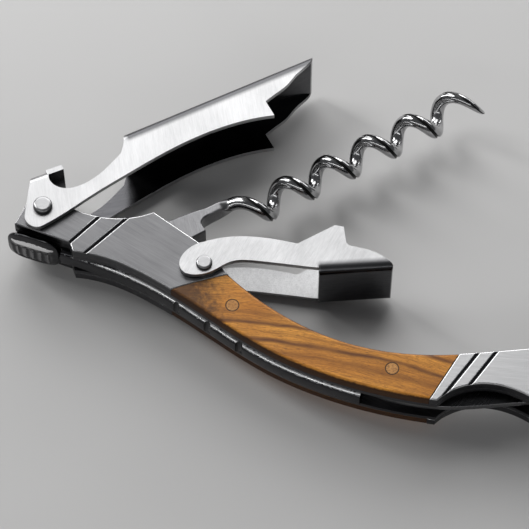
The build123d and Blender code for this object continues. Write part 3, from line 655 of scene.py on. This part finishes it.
def worm_mesh():
    """Wire swept along the spiral, with a groove along its outside and a needle point."""
    turns = wire_angles()
    left = Vector((-sin(WORM_ANGLE), cos(WORM_ANGLE), 0))
    distances = np.linspace(NECK_START, POINT_START + POINT_LENGTH, WORM_STATIONS)
    centres = [worm_station(distance)[0] for distance in distances]
    bm = bmesh.new()
    rings = []
    for index, distance in enumerate(distances):
        centre, radius, neck, height, groove, angle = worm_station(distance)
        before, after = centres[max(index - 1, 0)], centres[min(index + 1, WORM_STATIONS - 1)]
        heading = (after - before).normalized()
        outward = left * cos(angle) + Vector((0, 0, sin(angle)))
        outward = (outward - heading * outward.dot(heading)).normalized()
        sideways = heading.cross(outward)
        width = 1 + (NECK_HALF / WIRE_RADIUS - 1) * neck
        squareness = 2 + (NECK_SQUARENESS - 2) * neck
        ring = []
        for turn in turns:
            away = (turn + pi) % (2 * pi) - pi
            dip = groove * GROOVE_DEPTH * max(0.0, 1 - (away / GROOVE_HALF) ** 2)
            out = (superellipse(turn, squareness) - dip / WIRE_RADIUS) * radius
            ring.append(bm.verts.new(place(*(centre + outward * out * width * cos(turn)
                                             + sideways * out * height * sin(turn)))))
        rings.append(ring)
    # Faces in the groove take a painted shade; the neck takes the tang's steel.
    for distance, one, two in zip(distances, rings, rings[1:]):
        on_neck = distance < WORM_START - NECK_STEEL
        for step, face in enumerate(skin(bm, one, two)):
            face.material_index = 2 if on_neck else 1 if step < GROOVE_STEPS else 0
    bm.faces.new(rings[0])
    tip = bm.verts.new(place(*(centres[-1] + (centres[-1] - centres[-2]).normalized() * POINT_CAP)))
    for step in range(len(turns)):
        bm.faces.new((rings[-1][step], rings[-1][(step + 1) % len(turns)], tip))
    return bm


def catmull(points, steps):
    """Smooth curve through plan points."""
    ends = [points[0]] + list(points) + [points[-1]]
    curve = []
    for a, b, c, d in zip(ends, ends[1:], ends[2:], ends[3:]):
        for step in range(steps):
            t = step / steps
            curve.append(tuple(
                0.5 * (2 * q + (r - p) * t + (2 * p - 5 * q + 4 * r - s) * t ** 2
                       + (3 * q - p - 3 * r + s) * t ** 3)
                for p, q, r, s in zip(a, b, c, d)))
    curve.append(tuple(points[-1]))
    return curve


def inset(loop, distance):
    """Plan loop moved to its left by a distance, with mitred corners."""
    moved = []
    for index, here in enumerate(loop):
        before, after = Vector(loop[index - 1]), Vector(loop[(index + 1) % len(loop)])
        here = Vector(here)
        first, second = (here - before).normalized(), (after - here).normalized()
        normal_one, normal_two = Vector((-first.y, first.x)), Vector((-second.y, second.x))
        mitre = normal_one + normal_two
        mitre = mitre / max(mitre.dot(normal_one), MITRE_LIMIT)
        moved.append(tuple(here + mitre * distance))
    return moved


def plate_mesh(loops, half, edge):
    """Plate with both faces rounded over at the rim. Its outline runs anticlockwise, its holes clockwise."""
    bm = bmesh.new()
    turns = [pi / 2 * step / BEVEL_STEPS for step in range(BEVEL_STEPS + 1)]
    profile = [(edge * (1 - sin(turn)), half - edge + edge * cos(turn)) for turn in turns]
    profile = profile + [(gap, -height) for gap, height in reversed(profile)]
    caps = {0: [], -1: []}
    for loop in loops:
        rings = [[bm.verts.new(place(x, y, height)) for x, y in inset(loop, gap)] for gap, height in profile]
        for one, two in zip(rings, rings[1:]):
            skin(bm, one, two)
        for side in caps:
            ring = rings[side]
            caps[side] += [bm.edges.get((ring[i - 1], ring[i])) for i in range(len(ring))]
    for edges in caps.values():
        bmesh.ops.triangle_fill(bm, edges=edges, use_beauty=True)
    return bm


def hole(centre, radius, steps=48):
    """Clockwise circle in plan."""
    return [(centre[0] + radius * cos(-2 * pi * i / steps), centre[1] + radius * sin(-2 * pi * i / steps))
            for i in range(steps)]


def tang_outline():
    """The forged tang: round heel, hooked step below and a slim neck that runs on into the wire."""
    eye, step_at, neck_at = 3.1, 10.1, 12.9
    heel = [(eye * cos(radians(a)), eye * sin(radians(a))) for a in range(90, 271, 10)]
    tip = [(step_at - 0.35, -eye), (step_at - 0.08, -eye + 0.1), (step_at, -eye + 0.35)]
    notch = catmull([(step_at - 0.05, -2.2), (10.1, -1.1), (10.6, -0.4), (11.5, 0.0), (neck_at, 0.08)], 6)
    top = catmull([(neck_at, 1.98), (10.8, 2.4), (7.5, 2.85), (4.2, eye), (1.0, eye)], 5)
    return [along_worm(WORM_PIVOT, *point) for point in heel + tip + notch + top]


tang_loops = [tang_outline(), hole(WORM_PIVOT, TANG_HOLE)]
finish_mesh(worm_mesh(), "worm_wire", "worm", [WORM_STEEL, GROOVE_SHADE_STEEL, TANG_STEEL],
            ["worm_helix"])
finish_mesh(plate_mesh(tang_loops, TANG_HALF, TANG_EDGE), "worm_tang_forged", "worm",
            [TANG_STEEL], ["worm_tang"])

# ---- thumb tab ----------------------------------------------------------------------
# Heights on the pad are shares of half its depth. Places are shares of half its width or height.
TAB_LOW, TAB_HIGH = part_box("thumb_tab")
TAB_RINGS, TAB_SPOKES = 44, 160
TAB_SQUARENESS = 3.6         # power of the superellipse that outlines the pad
FRONT_DOME, BACK_DOME = 5, 12            # powers of the two sides' roundness: higher is flatter
PAD_HEIGHT = 0.60
BORDER_AT, BORDER_WIDTH, BORDER_HEIGHT = 0.80, 0.09, 0.30
BORDER_END = (0.30, 0.30)    # upward: where it has died away, and over what length
RIB_PITCH = 1.75 * MM
RIB_HEIGHT = 0.30
RIB_ENDS, RIB_TOP = (0.72, 0.12), (0.17, 0.15)   # the same, outward and upward
RIB_LIT = (0.64, 0.10, 0.7)  # part with painted light: its reach outward and upward, and the least cosine across a rib
RIDGE_AT, RIDGE_WIDTH, RIDGE_HEIGHT = 0.45, 0.22, 0.40
RIDGE_ENDS = (0.87, 0.25)    # the same, sideways
RIDGE_LIT = (0.84, 0.16)     # half width and half height of the painted highlight ellipse on the ridge
RIDGE_LIT_AT = RIDGE_AT + 0.06


def thumb_tab_mesh():
    """Domed pad with a ridge above that carries a painted highlight and, below it, a raised border round
    soft upright ribs.
    """
    centre, half = (TAB_LOW + TAB_HIGH) / 2, (TAB_HIGH - TAB_LOW) / 2
    turns = [2 * pi * spoke / TAB_SPOKES for spoke in range(TAB_SPOKES)]
    spans = [superellipse(turn, TAB_SQUARENESS) for turn in turns]

    def front(share, x, z):
        dome = (1 - share ** FRONT_DOME) ** 0.5
        above, beside = z / half.z, abs(x) / half.x
        border = bell((share - BORDER_AT) / BORDER_WIDTH) * BORDER_HEIGHT * fade(above, *BORDER_END)
        ribs = (0.5 + 0.5 * cos(2 * pi * x / RIB_PITCH)) * RIB_HEIGHT
        ribs *= fade(share, *RIB_ENDS) * fade(above, *RIB_TOP)
        ridge = bell((above - RIDGE_AT) / RIDGE_WIDTH) * RIDGE_HEIGHT * fade(beside, *RIDGE_ENDS)
        return dome * (PAD_HEIGHT + max(border + ribs, ridge))

    def back(share, *_):
        return -(1 - share ** BACK_DOME) ** 0.5

    def paint(offset):
        """0 dark pad, 1 painted highlight on the ridge, 2 painted light on the tops of the ribs."""
        beside, above = offset.x / half.x, offset.z / half.z
        if (beside / RIDGE_LIT[0]) ** 2 + ((above - RIDGE_LIT_AT) / RIDGE_LIT[1]) ** 2 < 1:
            return 1
        outward, upward, crest = RIB_LIT
        inside = max(abs(beside), abs(above)) < outward and above < upward
        return 2 if inside and cos(2 * pi * offset.x / RIB_PITCH) > crest else 0

    bm = bmesh.new()
    sides = []
    for surface in (front, back):
        pole = bm.verts.new(centre + Vector((0, -surface(0, 0, 0) * half.y, 0)))
        rings = []
        for index in range(1, TAB_RINGS):
            share = sin(pi / 2 * index / TAB_RINGS)
            ring = []
            for turn, span in zip(turns, spans):
                x, z = half.x * share * span * cos(turn), half.z * share * span * sin(turn)
                ring.append(bm.verts.new(centre + Vector((x, -surface(share, x, z) * half.y, z))))
            rings.append(ring)
        sides.append((pole, rings))
    rim = [bm.verts.new(centre + Vector((half.x * span * cos(turn), 0, half.z * span * sin(turn))))
           for turn, span in zip(turns, spans)]
    after = [(spoke + 1) % TAB_SPOKES for spoke in range(TAB_SPOKES)]
    for pole, rings in sides:
        rings.append(rim)
        for spoke, following in enumerate(after):
            bm.faces.new((pole, rings[0][spoke], rings[0][following]))
        for one, two in zip(rings, rings[1:]):
            for spoke, following in enumerate(after):
                face = bm.faces.new((one[spoke], two[spoke], two[following], one[following]))
                if rings is sides[0][1]:
                    face.material_index = paint(face.calc_center_median() - centre)
    return bm


finish_mesh(thumb_tab_mesh(), "thumb_tab_ribbed", "handle",
            [TAB_STEEL, HIGHLIGHT_STEEL, TANG_STEEL], ["thumb_tab"], crease=60.0)

# ---- carried-over CAD nodes ---------------------------------------------------------
KEPT = {
    "head_spacer": LINER_STEEL,
    "tail_spacer": LINER_STEEL,
    "scale_pins": PEG,
    "spring_pins": LINER_STEEL,
    "tail_pins": LINER_STEEL,
    "long_lever_rivet": RIVET_STEEL,
    "short_lever_rivet": RIVET_STEEL,
    "lever_washers": WASHER_STEEL,
    "worm_pin": RIVET_STEEL,
    "cutter_pin": RIVET_STEEL,
    "cutter_washers": WASHER_STEEL,
}
for node, material in KEPT.items():
    data = frame["nodes"][node].data
    data.materials.clear()
    data.materials.append(material)

# ---- floor, camera and lights -------------------------------------------------------
FLOOR_REACH = 1.6
floor_mesh = bpy.data.meshes.new("floor")
corners = [(-FLOOR_REACH, -FLOOR_REACH), (FLOOR_REACH, -FLOOR_REACH), (FLOOR_REACH, FLOOR_REACH),
           (-FLOOR_REACH, FLOOR_REACH)]
floor_mesh.from_pydata([(x, y, CAD_LOW.z) for x, y in corners], [], [(0, 1, 2, 3)])
floor_mesh.materials.append(floor_finish())
floor = bpy.data.objects.new("floor", floor_mesh)
bpy.context.scene.collection.objects.link(floor)

TARGET = place(48.77, 5.97)  # what the camera and the lamps face
TILT, TURN = radians(29.0), radians(19.0)    # of the view: from straight down, and round from -Y
TOWARDS_CAMERA = Vector((sin(TILT) * sin(TURN), -sin(TILT) * cos(TURN), cos(TILT)))
CAMERA_DISTANCE = 0.6


def aim(item, way, distance):
    """Stand a camera or lamp at a distance from the target, facing it."""
    item.location = TARGET + way * distance
    item.rotation_mode = "QUATERNION"
    item.rotation_quaternion = (-way).to_track_quat("-Z", "Y")
    bpy.context.scene.collection.objects.link(item)


camera_data = bpy.data.cameras.new("camera")
camera_data.lens = 187.8
camera_data.sensor_width = 36.0
camera_data.clip_start = 0.01
camera = bpy.data.objects.new("camera", camera_data)
aim(camera, TOWARDS_CAMERA, CAMERA_DISTANCE)
bpy.context.scene.camera = camera

SOFTBOXES = (                # name, direction, distance and size in metres, power in watts
    ("overhead", (-0.20, 0.50, 0.84), 0.7, (0.34, 0.24), 0.62),
    ("left", (-0.95, 0.25, 0.40), 0.7, (0.10, 0.5), 1.2),
    ("high_fill", (-0.75, 0.1, 0.75), 0.9, (0.3, 0.3), 2.0),
    ("crests", (-0.30, 0.80, 0.50), 0.7, (0.80, 0.42), 3.4),
    ("front_strip", (0.12, -0.79, 0.61), 0.8, (1.7, 0.09), 1.3),
    ("back", (0.25, 0.93, 0.30), 0.8, (0.75, 0.16), 1.0),
)
for name, direction, distance, size, power in SOFTBOXES:
    light = bpy.data.lights.new(name, "AREA")
    light.shape = "RECTANGLE"
    light.size, light.size_y = size
    light.energy = power
    aim(bpy.data.objects.new(name, light), Vector(direction).normalized(), distance)

world = bpy.data.worlds.new("studio")
bpy.context.scene.world = world
world.use_nodes = True
backdrop = world.node_tree.nodes["Background"]
backdrop.inputs["Color"].default_value = (0.8, 0.82, 0.85, 1)
backdrop.inputs["Strength"].default_value = 0.12
bpy.context.scene.view_settings.view_transform = "Standard"
